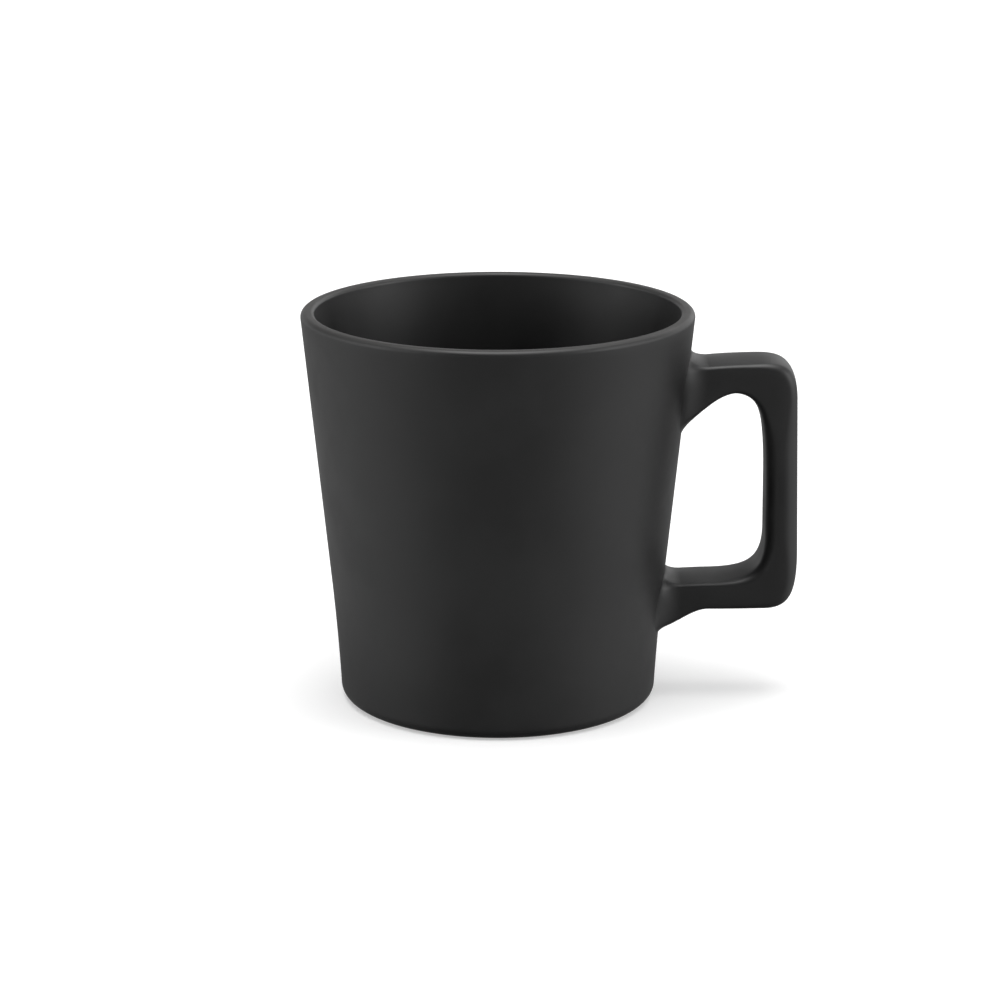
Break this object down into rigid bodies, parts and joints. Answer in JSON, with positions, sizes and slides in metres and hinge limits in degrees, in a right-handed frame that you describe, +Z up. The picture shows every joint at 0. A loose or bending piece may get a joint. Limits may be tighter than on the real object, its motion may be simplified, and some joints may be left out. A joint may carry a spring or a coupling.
{
  "type": "mug",
  "caption": "Tapered straight-walled mug with a square loop handle and a recessed foot, in matt black glazed ceramic.",
  "frame": {"origin": "centre of the mug's footprint box, handle included, on the surface it stands on; the cup's own axis is the vertical line x = -0.0115, y = 0", "axes": "+Z up, +X from the cup towards the handle, +Y across the handle's depth"},
  "size_m": [0.108, 0.085, 0.0862],
  "materials": {
    "matt_black_glaze": "matt, very fine grain, soft sheen"
  },
  "bodies": {
    "root": {"cup_body": "matt_black_glaze", "handle": "matt_black_glaze", "upper_slip_joint": "matt_black_glaze", "lower_slip_joint": "matt_black_glaze"}
  },
  "joints": []
}
